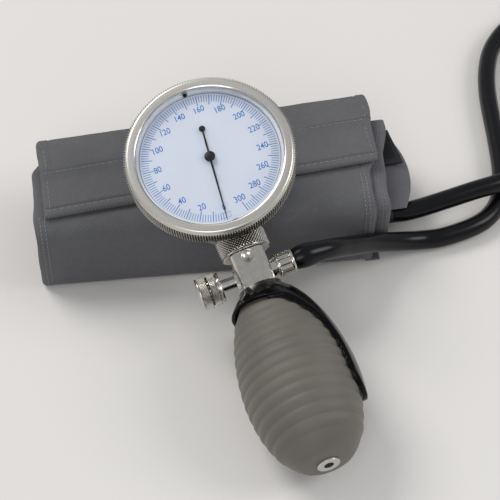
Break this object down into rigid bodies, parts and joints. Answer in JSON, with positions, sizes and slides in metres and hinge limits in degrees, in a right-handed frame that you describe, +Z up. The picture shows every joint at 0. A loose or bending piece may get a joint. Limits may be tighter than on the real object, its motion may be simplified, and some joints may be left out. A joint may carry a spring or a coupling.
{
  "type": "aneroid sphygmomanometer",
  "caption": "Palm-type aneroid blood pressure monitor: round gauge on a valve body with squeeze bulb and spoon guard, resting over its folded arm cuff, with one connecting hose.",
  "frame": {"origin": "centre of the folded cuff's flat underside, on the table", "axes": "+X along the cuff's width towards its hose end, +Y away from the user and the bulb, +Z up"},
  "size_m": [0.2824, 0.25, 0.0736],
  "materials": {
    "bezel_nickel": "fluted rim, satin front ring",
    "crystal_clear": "clear, slightly domed",
    "dial_ring_blue": "pale blue, smooth",
    "dial_white": "matt white with blue print",
    "dark_screw": "black, small",
    "pointer_black": "gloss black",
    "brass_parts": "turned brass",
    "spring_bronze": "thin bronze strip",
    "steel_parts": "turned steel",
    "plate_brass": "stamped brass plate",
    "capsule_bronze": "pressed bronze",
    "seal_rubber": "black rubber",
    "case_nickel": "satin to polished nickel",
    "nickel_knurled": "fine knurl",
    "nickel_polished": "polished",
    "nickel_satin": "satin nickel",
    "valve_plastic": "white, moulded",
    "guard_black": "gloss black",
    "bulb_rubber": "warm grey, ribbed",
    "end_valve_metal": "turned",
    "screen_steel": "fine steel mesh",
    "cuff_nylon": "dark grey twill nylon",
    "cuff_binding": "dark grey folded hem",
    "hook_tape": "black hook tape",
    "bladder_rubber": "matt black",
    "tab_white": "white woven tape",
    "hose_rubber": "black, semi-gloss"
  },
  "bodies": {
    "monitor": {"bezel_ring": "bezel_nickel", "crystal": "crystal_clear", "dial_ring": "dial_ring_blue", "dial_plate": "dial_white", "dial_screws": "dark_screw", "hairspring": "spring_bronze", "movement_top_plate": "plate_brass", "movement_base_plate": "plate_brass", "movement_pillars": "steel_parts", "movement_screws": "steel_parts", "capsule_pan": "capsule_bronze", "capsule_base": "brass_parts", "gauge_stem": "brass_parts", "stem_seal": "seal_rubber", "gauge_case": "case_nickel", "collar_nut": "nickel_knurled", "valve_body": "nickel_polished", "release_bush": "nickel_satin", "release_seal": "seal_rubber", "hose_port": "nickel_satin", "connector_nut": "nickel_knurled", "bulb_spigot": "nickel_polished", "outlet_cage": "valve_plastic", "spoon_guard": "guard_black", "squeeze_bulb": "bulb_rubber", "end_valve": "end_valve_metal", "intake_cage": "valve_plastic", "dust_screen": "screen_steel", "cuff_wrap": "cuff_nylon", "closing_flap": "cuff_nylon", "flap_hem": "cuff_binding", "inner_fold": "cuff_nylon", "folded_end": "cuff_nylon", "hook_strip": "hook_tape", "loop_panel": "cuff_nylon", "bladder": "bladder_rubber", "bladder_tube_neck": "bladder_rubber", "cuff_tab": "tab_white", "hose": "hose_rubber"},
    "needle": {"pointer": "pointer_black", "pinion_arbor": "brass_parts"},
    "sector": {"sector_gear": "brass_parts"},
    "rocker": {"rocker_shaft": "steel_parts"},
    "capsule_disc": {"capsule_top": "capsule_bronze"},
    "spindle": {"release_spindle": "nickel_polished"},
    "knob": {"release_knob": "nickel_polished"},
    "outlet_valve": {"outlet_disc": "seal_rubber"},
    "intake_valve": {"intake_disc": "seal_rubber"}
  },
  "joints": [
    {"name": "sector_swing", "type": "hinge", "parent": "monitor", "child": "sector", "pos_m": [0.00902, -0.0118, 0.05755], "axis": [-0.1124, -0.3665, 0.9236], "range_deg": [0, 45.5]},
    {"name": "pointer_spin", "type": "hinge", "parent": "monitor", "child": "needle", "pos_m": [-0.00147, -0.01801, 0.05381], "axis": [0.1124, 0.3665, -0.9236], "range_deg": [0, 341.25]},
    {"name": "rocker_swing", "type": "hinge", "parent": "monitor", "child": "rocker", "pos_m": [-0.0018, -0.0127, 0.05105], "axis": [-0.9716, -0.1544, -0.1795], "range_deg": [0, 23.07]},
    {"name": "capsule_lift", "type": "slide", "parent": "monitor", "child": "capsule_disc", "axis": [-0.1124, -0.3665, 0.9236], "range_m": [0, 0.0016]},
    {"name": "knob_turn", "type": "hinge", "parent": "spindle", "child": "knob", "pos_m": [-0.00398, -0.05869, 0.02665], "axis": [0.9716, 0.1544, 0.1795], "range_deg": [0, 720]},
    {"name": "spindle_travel", "type": "slide", "parent": "monitor", "child": "spindle", "axis": [-0.9716, -0.1544, -0.1795], "range_m": [0, 0.0014]},
    {"name": "outlet_valve_lift", "type": "slide", "parent": "monitor", "child": "outlet_valve", "axis": [-0.148, 0.9807, 0.1276], "range_m": [0, 0.001]},
    {"name": "intake_valve_lift", "type": "slide", "parent": "monitor", "child": "intake_valve", "axis": [-0.148, 0.9807, 0.1276], "range_m": [0, 0.001]}
  ],
  "couplings": [
    {"joint": "pointer_spin", "follows": "sector_swing", "ratio": 7.5},
    {"joint": "rocker_swing", "follows": "sector_swing", "ratio": 0.50712},
    {"joint": "capsule_lift", "follows": "sector_swing", "m_per_rad": 0.0020148},
    {"joint": "spindle_travel", "follows": "knob_turn", "m_per_rad": 0.00011141}
  ]
}
